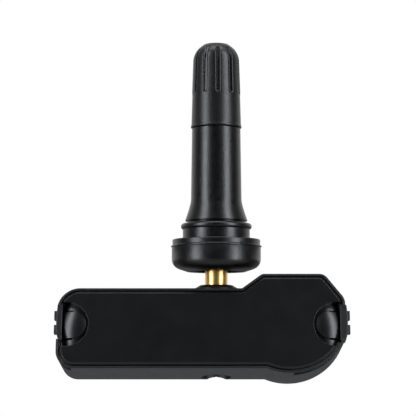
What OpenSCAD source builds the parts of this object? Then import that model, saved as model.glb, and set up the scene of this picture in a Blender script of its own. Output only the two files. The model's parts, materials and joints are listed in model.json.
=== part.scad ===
// Tyre pressure sensor on a snap-in rubber valve.
// The Z axis is the valve's axis and points to the cap. The origin lies on it, in the face of
// the flange that seats against the inside of the rim. The housing's cover faces -Y.
// All sizes are in millimetres.

/* [Seat in the rim] */
// Diameter of the groove that sits in the rim's hole
groove_d = 14.8; // [14.2:0.1:15.2]
// Height of the groove, between the flange and the snap ring
groove_h = 2.35; // [2.1:0.05:2.8]
// Diameter of the ring that snaps through the rim's hole
ring_d = 15.8; // [15.4:0.1:16.4]
// Height of the snap ring
ring_h = 1.55; // [1.2:0.05:1.8]
// Diameter of the flange inside the rim
flange_d = 19.8; // [19:0.1:21]
// Height of the flange
flange_h = 6.8; // [6.4:0.1:7.4]
// Radius of the flange's lower edge
flange_edge_r = 2.2; // [1.4:0.1:2.4]
// How far the moulding flash stands out around the flange
flash_out = 0.3; // [0.1:0.05:0.5]
// Depth of the flash line below the seat
flash_drop = 1.05; // [0.8:0.05:1.6]
// Height of the flash line
flash_h = 0.6; // [0.3:0.05:0.8]
// Mouth diameter of the hollow under the flange
hollow_d = 12.4; // [11:0.1:13.4]
// Depth of the hollow under the flange
hollow_h = 4.2; // [3.6:0.1:4.4]

/* [Rubber stem] */
// Diameter of the cone's sharp lower edge, just above the ring
cone_d = 13.6; // [13:0.1:14.4]
// Height of the flare above the ring
flare_h = 4.3; // [3.6:0.1:6]
// Diameter of the rubber where the flare begins
stem_low_d = 11.2; // [10.8:0.1:12]
// Diameter of the rubber's shoulder under the cap
stem_top_d = 10.8; // [10.2:0.1:11.2]
// Height of the shoulder above the seat
stem_h = 25.1; // [20:0.1:30]

/* [Brass stem] */
// Outer diameter of the cap thread
thread_d = 7.7; // [7.5:0.05:7.9]
// Length of the cap thread
thread_h = 9.2; // [8:0.1:11]
// Diameter of the shank inside the rubber
shank_d = 7.2; // [6.8:0.1:7.4]
// Diameter of the barbs that hold the rubber
barb_d = 8.3; // [7.8:0.1:8.8]
// Bare length of brass above the rubber, up to the tip
nose_h = 15.1; // [14.4:0.1:15.8]
// Diameter of the foot between flange and housing
foot_d = 5.07; // [4.8:0.01:5.6]
// Gap between the flange and the housing's boss
foot_gap = 3.45; // [2.5:0.05:5]
// Diameter of the bore that the valve core fills
core_bore_d = 3.9; // [3.8:0.05:4.1]
// Diameter of the core's threaded mouth
mouth_d = 5.3; // [5.2:0.05:5.5]
// Diameter of the air bore below the core
air_d = 2.2; // [1.6:0.1:2.6]
// Diameter of the cross hole that lets tyre air in
cross_d = 1.3; // [1:0.1:1.4]

/* [Valve core] */
// Diameter of the moving pin
pin_d = 0.9; // [0.8:0.05:1]
// How far the pin's head lies below the valve's mouth
pin_sunk = 0.25; // [0.1:0.05:0.5]
// Travel of the pin when it is pushed
pin_travel = 1.2; // [0.8:0.1:1.5]
// Length of the threaded plug
plug_h = 5.4; // [5:0.1:6]
// Length of the core's barrel
barrel_h = 9.8; // [9:0.1:11]
// Wire diameter of the core's spring
wire_d = 0.28; // [0.2:0.02:0.32]
// Turns of the core's spring
spring_turns = 7; // [5:1:9]

/* [Valve cap] */
// Height of the cap
cap_h = 19.1; // [18.7:0.1:20.4]
// Diameter of the lip at the cap's mouth
lip_d = 11.5; // [11.3:0.1:12]
// Height of the lip
lip_h = 0.4; // [0.3:0.05:0.8]
// Diameter of the skirt just above the lip
skirt_d = 11.2; // [11:0.05:11.25]
// Diameter of the skirt just below the ribs
waist_d = 10.85; // [10.5:0.05:10.9]
// Height of the plain skirt below the ribs
skirt_h = 7.2; // [6:0.1:8.6]
// Diameter over the ribs at their lower end
rib_d = 10.95; // [10.8:0.05:11.1]
// Diameter over the ribs where the dome begins
dome_d = 10.5; // [10.2:0.05:10.8]
// Height of the dome
dome_h = 4; // [3.4:0.1:4.6]
// Diameter of the flat top of the dome
flat_d = 5.5; // [4:0.1:6.5]
// Number of finger grooves around the cap
groove_count = 11; // [9:1:14]
// Width of a finger groove
finger_w = 1.3; // [0.8:0.1:1.5]
// Depth of a finger groove
finger_depth = 0.45; // [0.2:0.05:0.5]
// Thickness of the sealing washer in the cap
seal_h = 0.9; // [0.6:0.1:1.2]

/* [Housing] */
// Lean of the housing against the valve's axis, in degrees
tilt = 12; // [9:1:14]
// Depth of the housing from its front edge to its back
body_depth = 14.3; // [13.4:0.1:15]
// Reach of the housing's front edge from the valve's axis
front_reach = 6.8; // [6.7:0.05:7.1]
// Reach of the long end from the valve's axis
left_reach = 34.75; // [32:0.05:38]
// Reach of the battery end from the valve's axis
right_reach = 28.05; // [27.6:0.05:28.8]
// Drop from the boss's top to the long top edge
top_drop = 2.45; // [2.2:0.05:2.8]
// Height of the long part
side_h = 17.65; // [17:0.05:18.4]
// Radius of the long end's upper corner
corner_r = 5; // [4:0.1:6]
// Radius of the long end's lower corner
low_corner_r = 3.8; // [3.4:0.1:5]
// Radius of the round battery end
end_r = 13.5; // [13.2:0.05:13.9]
// Distance of the battery end's centre from the valve's axis
end_x = 15.9; // [15.5:0.1:16.4]
// Drop from the boss's top to the battery end's centre
end_drop = 7.6; // [7.3:0.1:8]
// Start of the hump's left slope, from the valve's axis
hump_x = 5.6; // [5.5:0.1:6.4]
// Run of the hump's left slope
hump_run = 4.4; // [3.5:0.1:5]
// Rise of the hump above the long top edge
hump_rise = 3.25; // [3:0.05:3.4]
// Start of the hump's right slope, from the valve's axis
shoulder_x = 23.6; // [23:0.1:24.2]
// Fall of the right slope for each millimetre outwards
shoulder_fall = 1.27; // [1.1:0.01:1.4]
// Thickness of the housing's walls
wall = 1.5; // [1.3:0.05:1.6]
// Thickness of the back wall
back_wall = 1.4; // [1.3:0.05:1.8]
// Width of the bevel around the back
back_bevel = 0.6; // [0.4:0.1:1.1]
// Diameter of the boss that carries the valve
boss_d = 9.5; // [9:0.1:10.4]

/* [Cover] */
// Thickness of the housing's lip around the cover
rim_w = 0.5; // [0.4:0.05:0.6]
// Gap between the lip and the cover
cover_gap = 0.25; // [0.1:0.05:0.3]
// How far the cover stands out of the lip
cover_proud = 0.35; // [0.2:0.05:0.5]
// Width of the bevel around the cover
cover_bevel = 0.45; // [0.3:0.05:0.6]
// Thickness of the cover at its edge
cover_edge_h = 1.75; // [1.6:0.05:1.8]
// Thickness of the cover's plate
cover_t = 1.05; // [0.9:0.05:1.2]
// Radius of the round latch recess
latch_r = 4.9; // [4.6:0.05:5]
// Drop from the boss's top to the middle of the latches
latch_drop = 10.45; // [10.3:0.05:10.9]
// Width of the latch tongue
tongue_w = 5.9; // [5.2:0.1:6]
// Thickness of the latch tongue
tongue_t = 1.1; // [0.9:0.05:1.2]
// Radius of the latch tongue's curve towards the strap
tongue_r = 5.6; // [5.4:0.1:6.4]
// Radius of the latch tongue's crown along the strap
crown_r = 9; // [8:0.5:14]
// Length of the strap that holds the tongue
strap_h = 7.9; // [7.6:0.1:8.2]
// Depth of the strap's inner face in the end of the housing
strap_in = 1.15; // [0.95:0.05:1.25]
// How far the strap stands out of the long end
strap_out = 0.1; // [0.05:0.05:0.4]
// How far the strap stands out of the battery end
end_strap_out = 0.5; // [0.2:0.05:0.6]
// How far the two nubs stand out of the strap
nub_out = 0.5; // [0.3:0.05:0.6]

/* [Fastening screw] */
// Diameter of the screw's shank
screw_d = 3; // [2.5:0.1:3]
// Diameter of the screw's head
screw_head_d = 5.4; // [5:0.1:5.8]
// Height of the screw's head
screw_head_h = 2; // [1.6:0.1:2.4]
// Thread length of the screw in the valve's foot
screw_grip = 4.4; // [3.6:0.1:4.6]
// Diameter of the channel for the screwdriver
channel_d = 6.6; // [6.2:0.1:7]

/* [Electronics] */
// Thickness of the circuit board
board_t = 0.8; // [0.6:0.1:1]
// Diameter of the battery
battery_d = 16; // [15:0.5:16.5]
// Thickness of the battery
battery_t = 3.2; // [2.5:0.1:3.6]
// Side of the square pressure chip
chip_w = 7; // [6:0.5:7.5]
// Height of the pressure chip
chip_h = 2.4; // [1.8:0.1:2.8]
// Diameter of the pressure port
port_d = 1.6; // [1.2:0.1:2]
// Length of the wake-up coil
coil_l = 10; // [8:0.5:11]

/* [Hidden] */
$fn = 96;

// Overshoot of cutters, so that no cut ends in a face
over = 1;
// Play between pieces that are fixed in one another
play = 0.05;
// Play around a piece that moves
free = 0.15;

// Heights along the valve, from the seat in the rim
ring_top = groove_h + ring_h;
cone_z = ring_top + 0.2;
tip_z = stem_h + nose_h;
boss_z = -(flange_h + foot_gap);
fillet = 0.15;
thread_z = tip_z - thread_h;
cap_z = stem_h + 0.1;
cap_top = cap_z + cap_h;
ceiling_z = tip_z + seal_h;
rib_z = cap_z + skirt_h;
dome_z = cap_top - dome_h;
dome_steps = 12;

// Valve core
core_clear = core_bore_d / 2 - free;
mouth_h = 6.2;
seat_h = 1;
seat_z = tip_z - mouth_h - seat_h;
plug_z = seat_z + seat_h;
barrel_r = core_clear - 0.1;
barrel_wall = 0.4;
barrel_z = plug_z - barrel_h;
pin_hole_r = pin_d / 2 + free;
poppet_h = 1.6;
shoulder_h = 0.4;
shoulder_z = plug_z - 2.2;
turret_h = 1.2;
core_well_z = barrel_z - poppet_h - pin_travel - 3;

// Stem, below
hollow_z = hollow_h - flange_h;
collar_z = hollow_z + 0.8;
collar_h = 1.2;
barb_h = 1;
barb_pitch = 8;
tapped_top = boss_z + screw_grip + 0.5;
cross_z = tapped_top + 0.4 + cross_d / 2;

// Housing, in its own frame: x along it, y to the back, z up, from the boss's top
front_y = -front_reach;
back_y = body_depth - front_reach;
top_z = -top_drop;
bottom_z = top_z - side_h;
hump_z = top_z + hump_rise;
right_x = right_reach;
left_x = -left_reach;
slope = hump_rise / hump_run;
under = 2;
low_z = -2 * end_r - end_drop;
knee_z = hump_z - (right_x - shoulder_x) * shoulder_fall;
end_points = [[hump_x - under, low_z], [right_x, low_z], [right_x, knee_z], [shoulder_x, hump_z],
    [hump_x + hump_run, hump_z], [hump_x - under, top_z - under * slope]];
end_radii = [0, 0, 3, 2.2, 1.5, 0];
cover_inset = rim_w + cover_gap;
face_y = front_y - cover_proud;
ledge_y = face_y + cover_edge_h;
board_y = ledge_y + 0.7;
board_back = board_y + board_t;
board_inset = wall - 0.4;
cavity_end = back_y - back_wall;
latch_z = -latch_drop;

// Latch bay, with x counted inwards from the end of the housing
recess_x = 2.05;
recess_deep = 0.3;
dish_drop = 0.7;
tongue_x0 = strap_in + 0.35;
tongue_top_x = tongue_x0 + 3.2;
tongue_x1 = recess_x + latch_r;
tongue_slot = 0.3;
tongue_slot_x = tongue_x0 + 2;
leg_y = face_y + recess_deep + 1.55;
shelf_y = face_y + 2.75;
hook_y = face_y + 3.75;
hook_h = 0.8;
hook_out = 0.85;
bay_floor_y = hook_y + hook_h + 0.35;
bay_floor_t = 1;
bay_wall = 0.8;
bay_x = tongue_x1 + free + bay_wall;
bay_w = 2 * latch_r + 1.1;
slot_w = tongue_w + 2 * free + 0.1;
strap_shift = 0.4;
strap_y0 = front_y + 0.3;
strap_y1 = hook_y - 0.15;

// Screw and its channel, along the valve's axis
seat_under = boss_z - 4.75;
channel_r = channel_d / 2;
tube_r = channel_r + 1.1;
screw_top = boss_z + screw_grip;

// Electronics, in the housing's frame
board_x0 = left_x + bay_x + 0.15;
board_x1 = right_x - bay_x - 0.15;
battery_x = end_x;
battery_z = -(end_drop + 1.9);
battery_y = bay_floor_y + bay_floor_t + 0.3;
battery_back = battery_y + battery_t;
tab_t = 0.2;
tab_w = 3;
neg_x = battery_x - battery_d / 2 - 1.1;
pos_x = neg_x - 1;
neg_z = battery_z + 2.2;
pos_z = battery_z - 2.6;
chip_x = -20;
chip_z = -11.3;
side_chip_x = chip_x + 9.5;
side_chip_z = chip_z - 2.7;
gasket_h = 1.2;
gasket_r = 2.2;
filter_h = 0.3;
filter_r = 2.3;
port_y = board_back + chip_h + gasket_h;
coil_x = -21;
coil_z = top_z - 3.6;
coil_w = 2.8;
coil_cheek = 1.4;
antenna_z = bottom_z + 2.6;
antenna_x0 = board_x0 + 1.4;
antenna_x1 = -5.5;
antenna_rise = 5.6;
antenna_w = 1.4;
antenna_t = 0.3;

function unit(v) = v / norm(v);
function turn(v) = [-v[1], v[0]];
function cross2(a, b) = a[0] * b[1] - a[1] * b[0];
function wrap(list, i) = list[(i + len(list)) % len(list)];

// Corner of a convex outline after each side has moved in by inset
function inset_corner(pts, i, inset) =
    let (a = wrap(pts, i - 1), p = pts[i], b = wrap(pts, i + 1))
    let (u = unit(p - a), v = unit(b - p))
    let (pu = p + turn(u) * inset, pv = p + turn(v) * inset)
    pu + u * cross2(pv - pu, v) / cross2(u, v);

// Distance from a corner to where its rounding starts
function tangent_length(pts, i, r) =
    let (u = unit(pts[i] - wrap(pts, i - 1)), v = unit(wrap(pts, i + 1) - pts[i]))
    r * tan(acos(u * v) / 2);

// Convex polygon with each side moved in by inset and each corner rounded
module rounded_polygon(pts, radii, inset) {
    moved = [for (i = [0:len(pts) - 1]) inset_corner(pts, i, inset)];
    round = [for (r = radii) r > 0 ? max(r - inset, 0.3) : 0];
    polygon([for (i = [0:len(pts) - 1]) each
        let (p = moved[i], t = tangent_length(moved, i, round[i]))
        let (u = unit(p - wrap(moved, i - 1)), v = unit(wrap(moved, i + 1) - p))
        t > 0 ? [p - u * t, p + v * t] : [p]]);
    for (i = [0:len(pts) - 1])
        if (round[i] > 0) {
            u = unit(moved[i] - wrap(moved, i - 1));
            translate(moved[i] - u * tangent_length(moved, i, round[i]) + turn(u) * round[i])
                circle(r = round[i]);
        }
}

// Long part of the housing's outline, with round corners at its free end
module bar_outline(inset) {
    inner_x = left_x + max(corner_r, low_corner_r);
    translate([left_x + corner_r, top_z - corner_r])
        circle(r = corner_r - inset);
    translate([left_x + low_corner_r, bottom_z + low_corner_r])
        circle(r = low_corner_r - inset);
    translate([left_x + corner_r, top_z - corner_r])
        square([end_x - left_x - corner_r, corner_r - inset]);
    translate([left_x + low_corner_r, bottom_z + inset])
        square([end_x - left_x - low_corner_r, low_corner_r]);
    translate([left_x + inset, bottom_z + low_corner_r])
        square([inner_x - left_x, side_h - corner_r - low_corner_r]);
    translate([inner_x - over, bottom_z + low_corner_r])
        square([end_x - inner_x + over, side_h - corner_r - low_corner_r + over]);
}

// Battery end of the housing's outline: a circle cut by the hump's slopes and the flat end
module end_outline(inset) {
    intersection() {
        translate([end_x, -end_drop])
            circle(r = end_r - inset);
        rounded_polygon(end_points, end_radii, inset);
    }
}

module outline(inset) {
    bar_outline(inset);
    end_outline(inset);
}

// Raises an outline in the housing's x and z between two depths
module between(y0, y1) {
    translate([0, y1, 0])
        rotate([90, 0, 0])
            linear_extrude(height = y1 - y0)
                children();
}

// Bevelled slab of one convex outline between two depths
module bevel_slab(part, y0, y1, inset0, inset1) {
    skin = 0.01;
    hull() {
        between(y0, y0 + skin)
            part_outline(part, inset0, $fn = 40);
        between(y1 - skin, y1)
            part_outline(part, inset1, $fn = 40);
    }
}

module part_outline(part, inset) {
    if (part == "bar") bar_outline(inset);
    if (part == "end") end_outline(inset);
}

// Places a piece that is drawn in the housing's own frame
module in_housing() {
    translate([0, 0, boss_z])
        rotate([-tilt, 0, 0])
            children();
}

// Both ends of the housing, with x counted inwards and z from the latch's middle
module at_ends() {
    translate([left_x, 0, latch_z])
        children();
    translate([right_x, 0, latch_z])
        mirror([1, 0, 0])
            children();
}

// Box by its two corners
module box(a, b) {
    translate(a)
        cube(b - a);
}

// Ring along the valve's axis between two heights
module ring(r_out, r_in, z0, z1) {
    translate([0, 0, z0])
        difference() {
            cylinder(r = r_out, h = z1 - z0);
            translate([0, 0, -over])
                cylinder(r = r_in, h = z1 - z0 + 2 * over);
        }
}

// Cylinder along the valve's axis between two heights
module rod(r, z0, z1) {
    translate([0, 0, z0])
        cylinder(r = r, h = z1 - z0);
}

// Cylinder through the housing from front to back
module peg(x, z, r, y0, y1) {
    translate([x, y1, z])
        rotate([90, 0, 0])
            cylinder(r = r, h = y1 - y0);
}

// Brass stem's outside, from the foot to the tip
module stem_outside() {
    nose_edge = 0.5;
    rod(foot_d / 2, boss_z, collar_z + collar_h / 2);
    rod(barb_d / 2, collar_z, collar_z + collar_h);
    rod(shank_d / 2, collar_z, thread_z + over);
    for (z = [collar_z + barb_pitch, collar_z + 2 * barb_pitch])
        rod(barb_d / 2, z, z + barb_h);
    rod(thread_d / 2, thread_z, tip_z - nose_edge);
    translate([0, 0, tip_z - nose_edge])
        cylinder(r1 = thread_d / 2, r2 = thread_d / 2 - nose_edge, h = nose_edge);
}

module valve_stem() {
    color("#c79b3b")
        difference() {
            stem_outside();
            rod(mouth_d / 2, plug_z, tip_z + over);
            translate([0, 0, seat_z])
                cylinder(r1 = core_bore_d / 2, r2 = mouth_d / 2, h = seat_h);
            rod(core_bore_d / 2, core_well_z, seat_z + play);
            rod(air_d / 2, cross_z, core_well_z + play);
            rod(screw_d / 2 + play, boss_z - over, tapped_top);
            translate([0, foot_d, cross_z])
                rotate([90, 0, 0])
                    cylinder(r = cross_d / 2, h = 2 * foot_d);
        }
}

// Half section of the rubber, from the hollow under the flange to the shoulder under the cap
module rubber_section() {
    seat_edge = 0.4;
    flange_r = flange_d / 2;
    edge_x = flange_r - flange_edge_r;
    edge_z = flange_edge_r - flange_h;
    shoulder = 0.3;
    polygon([
        [hollow_d / 2, -flange_h],
        [edge_x, -flange_h],
        [edge_x, edge_z],
        [flange_r, edge_z],
        [flange_r, -flash_drop - flash_h],
        [flange_r + flash_out, -flash_drop - flash_h],
        [flange_r + flash_out, -flash_drop],
        [flange_r - 0.1, -flash_drop],
        [flange_r - 0.1 - seat_edge, 0],
        [groove_d / 2 + fillet, 0],
        [groove_d / 2, fillet],
        [groove_d / 2, groove_h],
        [ring_d / 2 - ring_h / 2, groove_h],
        [ring_d / 2 - ring_h / 2, ring_top],
        [cone_d / 2 - 0.2, ring_top],
        [cone_d / 2, cone_z],
        [cone_d / 2, cone_z + 0.15],
        [stem_low_d / 2 + 0.2, ring_top + flare_h - 0.7],
        [stem_low_d / 2, ring_top + flare_h],
        [stem_top_d / 2, stem_h - shoulder],
        [stem_top_d / 2 - shoulder, stem_h],
        [0, stem_h],
        [0, hollow_z],
        [foot_d / 2 + 1, hollow_z]
    ]);
    translate([ring_d / 2 - ring_h / 2, groove_h + ring_h / 2])
        circle(d = ring_h);
    translate([edge_x, edge_z])
        circle(r = flange_edge_r);
}

module rubber_stem() {
    color("#1d1d1f")
        difference() {
            rotate_extrude()
                intersection() {
                    rubber_section();
                    translate([0, -flange_h])
                        square([flange_d, flange_h + stem_h]);
                }
            stem_outside();
            rotate_extrude()
                polygon([[0, -flange_h - over], [hollow_d / 2, -flange_h - over],
                    [hollow_d / 2, -flange_h], [foot_d / 2 + 1, hollow_z], [0, hollow_z]]);
        }
}

// Threaded plug of the valve core, with its slotted turret
module core_plug() {
    plug_top = plug_z + plug_h;
    turret_r = core_bore_d / 2 - 0.2;
    color("#d2ab52")
        difference() {
            union() {
                rod(mouth_d / 2 - play, plug_z, plug_top - turret_h);
                rod(turret_r, plug_z, plug_top);
            }
            rod(pin_hole_r, plug_z - over, plug_top + over);
            for (x = [-turret_r - 0.6, 1.2])
                translate([x, -turret_r, plug_top - turret_h])
                    cube([over, 2 * turret_r, turret_h + over]);
        }
}

// Sealing ring of the valve core, pressed on the conical seat in the stem
module core_ring() {
    color("#8c2f22")
        rotate_extrude()
            polygon([[barrel_r + play, seat_z + 0.1], [core_bore_d / 2, seat_z + 0.1],
                [mouth_d / 2 - play, plug_z], [barrel_r + play, plug_z]]);
}

module core_barrel() {
    ledge = 0.6;
    color("#d2ab52")
        difference() {
            rod(barrel_r, barrel_z, plug_z);
            rod(barrel_r - barrel_wall, barrel_z + ledge, plug_z - ledge);
            rod(pin_hole_r, barrel_z - over, plug_z + over);
        }
}

// Pin with the shoulder that the spring lifts
module core_pin() {
    color("#b9bcc0") {
        rod(pin_d / 2, barrel_z - poppet_h, tip_z - pin_sunk);
        rod(barrel_r - barrel_wall - free, shoulder_z, shoulder_z + shoulder_h);
    }
}

// Cup that closes the barrel from below
module core_poppet() {
    color("#3a2a20")
        difference() {
            rod(barrel_r, barrel_z - poppet_h, barrel_z);
            rod(pin_d / 2 + 0.02, barrel_z - poppet_h - over, barrel_z + over);
        }
}

// Spring between the barrel's ledge and the pin's shoulder
module core_spring() {
    sides = 8;
    per_turn = 20;
    ledge = 0.6;
    coil_r = barrel_r - barrel_wall - free - wire_d / 2;
    z0 = barrel_z + ledge + wire_d / 2;
    z1 = shoulder_z - wire_d / 2;
    steps = spring_turns * per_turn;
    points = [for (i = [0:steps], k = [0:sides - 1])
        let (a = 360 * i / per_turn, b = 360 * k / sides)
        let (r = coil_r + wire_d / 2 * cos(b))
        [r * cos(a), r * sin(a), z0 + (z1 - z0) * i / steps + wire_d / 2 * sin(b)]];
    rings = [for (i = [0:steps - 1], k = [0:sides - 1])
        [i * sides + k, (i + 1) * sides + k, (i + 1) * sides + (k + 1) % sides,
            i * sides + (k + 1) % sides]];
    first = [for (k = [0:sides - 1]) k];
    last = [for (k = [sides - 1:-1:0]) steps * sides + k];
    color("#c9ccd0")
        polyhedron(points, concat(rings, [first, last]));
}

// Screw with a six-lobed recess, driven up through the housing into the valve's foot
module stem_screw() {
    lobe_r = 0.42;
    lobe_at = 0.95;
    recess_h = 1.2;
    edge = 0.4;
    color("#aeb1b6")
        difference() {
            union() {
                rod(screw_d / 2, seat_under - edge, screw_top);
                rod(screw_head_d / 2, seat_under - screw_head_h + edge, seat_under);
                translate([0, 0, seat_under - screw_head_h])
                    cylinder(r1 = screw_head_d / 2 - edge, r2 = screw_head_d / 2, h = edge);
            }
            rod(lobe_at, seat_under - screw_head_h - over, seat_under - screw_head_h + recess_h);
            for (a = [0:60:300])
                rotate([0, 0, a])
                    translate([lobe_at, 0, 0])
                        rod(lobe_r, seat_under - screw_head_h - over,
                            seat_under - screw_head_h + recess_h);
        }
}

// Radius of the cap's dome at a share of its full height
function dome_r(share) = dome_d / 2 * sqrt(1 - share * share);

// Full height of the dome, had it no flat top
function dome_full() = dome_h / sqrt(1 - pow(flat_d / dome_d, 2));

// Half section of the cap's outside
module cap_section() {
    lip_flare = 0.3;
    rib_rise = 0.9;
    top_turn = asin(dome_h / dome_full());
    polygon(concat(
        [[0, cap_z], [lip_d / 2, cap_z], [lip_d / 2, cap_z + lip_h],
            [skirt_d / 2, cap_z + lip_h + lip_flare], [waist_d / 2, rib_z],
            [rib_d / 2, rib_z + rib_rise], [dome_d / 2, dome_z]],
        [for (i = [1:dome_steps])
            let (share = sin(top_turn * i / dome_steps))
            [dome_r(share), dome_z + dome_full() * share]],
        [[0, cap_top]]));
}

// Flat-floored finger groove with a round foot, which runs up the ribs and out over the dome
module finger_groove() {
    foot_z = rib_z + 0.15 + finger_w / 2;
    foot_x = waist_d / 2 - finger_depth;
    head_x = dome_d / 2 - finger_depth;
    over_dome = 18;
    far = rib_d;
    intersection() {
        translate([0, finger_w, 0])
            rotate([90, 0, 0])
                linear_extrude(height = 2 * finger_w)
                    polygon([[foot_x, rib_z], [head_x, dome_z],
                        [head_x - dome_h * tan(over_dome), dome_z + dome_h],
                        [far, dome_z + dome_h], [far, rib_z]]);
        rotate([90, 0, 90])
            linear_extrude(height = far) {
                translate([0, foot_z])
                    circle(d = finger_w);
                translate([-finger_w / 2, foot_z])
                    square([finger_w, cap_top - foot_z]);
            }
    }
}

module valve_cap() {
    bore_r = thread_d / 2 + 0.1;
    mouth_r = thread_d / 2 + 0.6;
    groove_turn = -85.5;
    color("#19191b")
        difference() {
            rotate_extrude()
                cap_section();
            rod(bore_r, cap_z, ceiling_z);
            rod(mouth_r, cap_z - over, thread_z);
            translate([0, 0, thread_z])
                cylinder(r1 = mouth_r, r2 = bore_r, h = mouth_r - bore_r);
            for (i = [0:groove_count - 1])
                rotate([0, 0, 360 * i / groove_count + groove_turn])
                    finger_groove();
        }
}

module cap_seal() {
    color("#3c3c40")
        ring(thread_d / 2 - 0.2, mouth_d / 2 - 0.4, tip_z, ceiling_z);
}

// Solid form of the housing, with the bevel around its back
module housing_form() {
    between(front_y, back_y - back_bevel)
        outline(0);
    for (part = ["bar", "end"])
        bevel_slab(part, back_y - back_bevel, back_y, 0.02, back_bevel);
}

// Low domed boss that the valve's foot stands on
module boss() {
    flat_r = foot_d / 2 + 0.5;
    fall = 0.75;
    rotate_extrude()
        polygon([[0, seat_under], [boss_d / 2, seat_under], [boss_d / 2, boss_z - fall],
            [boss_d / 2 - 0.5, boss_z - fall * 0.62], [flat_r + 0.6, boss_z - fall * 0.12],
            [flat_r, boss_z], [0, boss_z]]);
}

// Block at each end that holds a latch tongue and closes it off from the electronics
module bay_block() {
    intersection() {
        between(front_y, back_y - back_bevel - 1)
            outline(wall / 2);
        at_ends()
            box([0, ledge_y, -bay_w / 2], [bay_x, bay_floor_y + bay_floor_t, bay_w / 2]);
    }
}

// Space for the tongue and its hook, with the window under the strap
module bay_space() {
    at_ends() {
        box([strap_in, front_y - over, -slot_w / 2],
            [bay_x - bay_wall, bay_floor_y, slot_w / 2]);
        box([-over - nub_out, strap_y1, -slot_w / 2],
            [strap_in + over, hook_y + hook_h + free, slot_w / 2]);
        box([-over - nub_out, front_y - over, strap_shift - strap_h / 2 + 0.3],
            [strap_in + free, strap_y1, strap_shift + strap_h / 2 - 0.3]);
    }
    intersection() {
        between(front_y - over, shelf_y)
            outline(rim_w);
        at_ends()
            intersection() {
                peg(recess_x, 0, latch_r + 0.1, front_y - 2 * over, shelf_y + over);
                box([strap_in, front_y - 2 * over, -bay_w], [bay_w, shelf_y + over, bay_w]);
            }
    }
}

// Bowed strap with two nubs, which stands out of the end by a given length
module strap_form(out) {
    nub_h = 1.9;
    nub_d = 1.6;
    nub_pitch = 3.1;
    nub_shift = 0.15;
    bow_r = 34;
    taper = 1.6;
    foot_z = taper - strap_h / 2;
    rows = 6;
    translate([-out, 0, strap_shift]) {
        between(strap_y0, strap_y1)
            polygon(concat([[strap_in + out, strap_h / 2], [strap_in + out, -strap_h / 2],
                [taper / 3, -strap_h / 2]],
                [for (i = [0:rows])
                    let (z = foot_z + (strap_h / 2 - foot_z) * i / rows)
                    [z * z / (2 * bow_r), z]]));
        for (side = [-1, 1])
            translate([0, 0, nub_shift + side * nub_pitch / 2])
                box([-nub_out, strap_y0 + 0.3, -nub_h / 2],
                    [play + nub_h / bow_r, strap_y0 + 0.3 + nub_d, nub_h / 2]);
    }
}

// Strap across each end
module straps() {
    translate([left_x, 0, latch_z])
        strap_form(strap_out);
    translate([right_x, 0, latch_z])
        mirror([1, 0, 0])
            strap_form(end_strap_out);
}

// Part of a ring around a corner of the outline, between two angles
module corner_ring(x, z, r, deep, a0, a1) {
    reach = 3 * end_r;
    middle = (a0 + a1) / 2;
    translate([x, z])
        intersection() {
            difference() {
                circle(r = r + over);
                circle(r = r - deep);
            }
            polygon([[0, 0], [reach * cos(a0), reach * sin(a0)],
                [reach * cos(middle), reach * sin(middle)], [reach * cos(a1), reach * sin(a1)]]);
        }
}

// Long slots in the side wall, just behind the front edge, that end at both straps.
// They are shallow in the thin lip and deep behind it.
module edge_slots() {
    y0 = front_y + 0.3;
    slot_h = 2.8;
    lip_deep = rim_w - 0.2;
    wall_deep = wall / 2;
    end_from = -87;
    end_to = -22;
    corner_from = 186;
    corner_to = 262;
    corner_x = left_x + low_corner_r;
    corner_z = bottom_z + low_corner_r;
    for (cut = [[y0, ledge_y, lip_deep], [ledge_y - play, y0 + slot_h, wall_deep]])
        between(cut[0], cut[1]) {
            corner_ring(end_x, -end_drop, end_r, cut[2], end_from, end_to);
            corner_ring(corner_x, corner_z, low_corner_r, cut[2], corner_from, corner_to);
        }
}

// Ribs that carry the battery
module battery_ribs() {
    rib_t = 1;
    rib_l = battery_d - 2;
    for (z = [battery_z + 6, battery_z + 3, battery_z - 6])
        box([battery_x - rib_l / 2, battery_back, z - rib_t / 2],
            [battery_x + rib_l / 2, cavity_end + play, z + rib_t / 2]);
}

module housing() {
    color("#2b2c2f")
        difference() {
            union() {
                in_housing() {
                    difference() {
                        housing_form();
                        between(front_y - over, ledge_y)
                            outline(rim_w);
                        between(ledge_y - over, board_back)
                            outline(board_inset);
                        between(board_back - over, cavity_end)
                            outline(wall);
                    }
                    bay_block();
                    battery_ribs();
                    peg(chip_x, chip_z, gasket_r + 0.3, port_y, cavity_end + play);
                }
                boss();
                intersection() {
                    in_housing()
                        between(front_y + 2, back_y - back_bevel)
                            outline(wall / 2);
                    rod(tube_r, boss_z - 2 * end_r, seat_under);
                }
            }
            in_housing() {
                bay_space();
                edge_slots();
                peg(chip_x, chip_z, port_d / 2, port_y - over, back_y + over);
                peg(chip_x, chip_z, filter_r + free, back_y - filter_h - 0.2, back_y + over);
            }
            rod(channel_r, boss_z - 3 * end_r, seat_under);
            rod(screw_d / 2 + free, seat_under - over, boss_z + over);
        }
    color("#2b2c2f")
        in_housing()
            straps();
}

// Crowned shell that the latch tongues are cut from, with its top at a depth behind the face
module crowned_shell(deep, crown) {
    translate([tongue_top_x, face_y + deep + tongue_r, 0])
        rotate_extrude()
            intersection() {
                translate([tongue_r - crown, 0])
                    difference() {
                        circle(r = crown);
                        circle(r = crown - tongue_t);
                    }
                translate([0, -latch_r])
                    square([tongue_r, 2 * latch_r]);
            }
}

// Outline of a tongue: straight from its tip, and round at its root
module tongue_outline() {
    translate([tongue_x0, -tongue_w / 2])
        square([tongue_slot_x - tongue_x0, tongue_w]);
    translate([tongue_slot_x, 0])
        intersection() {
            circle(d = tongue_w);
            translate([-play, -tongue_w / 2])
                square(tongue_w);
        }
}

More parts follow.
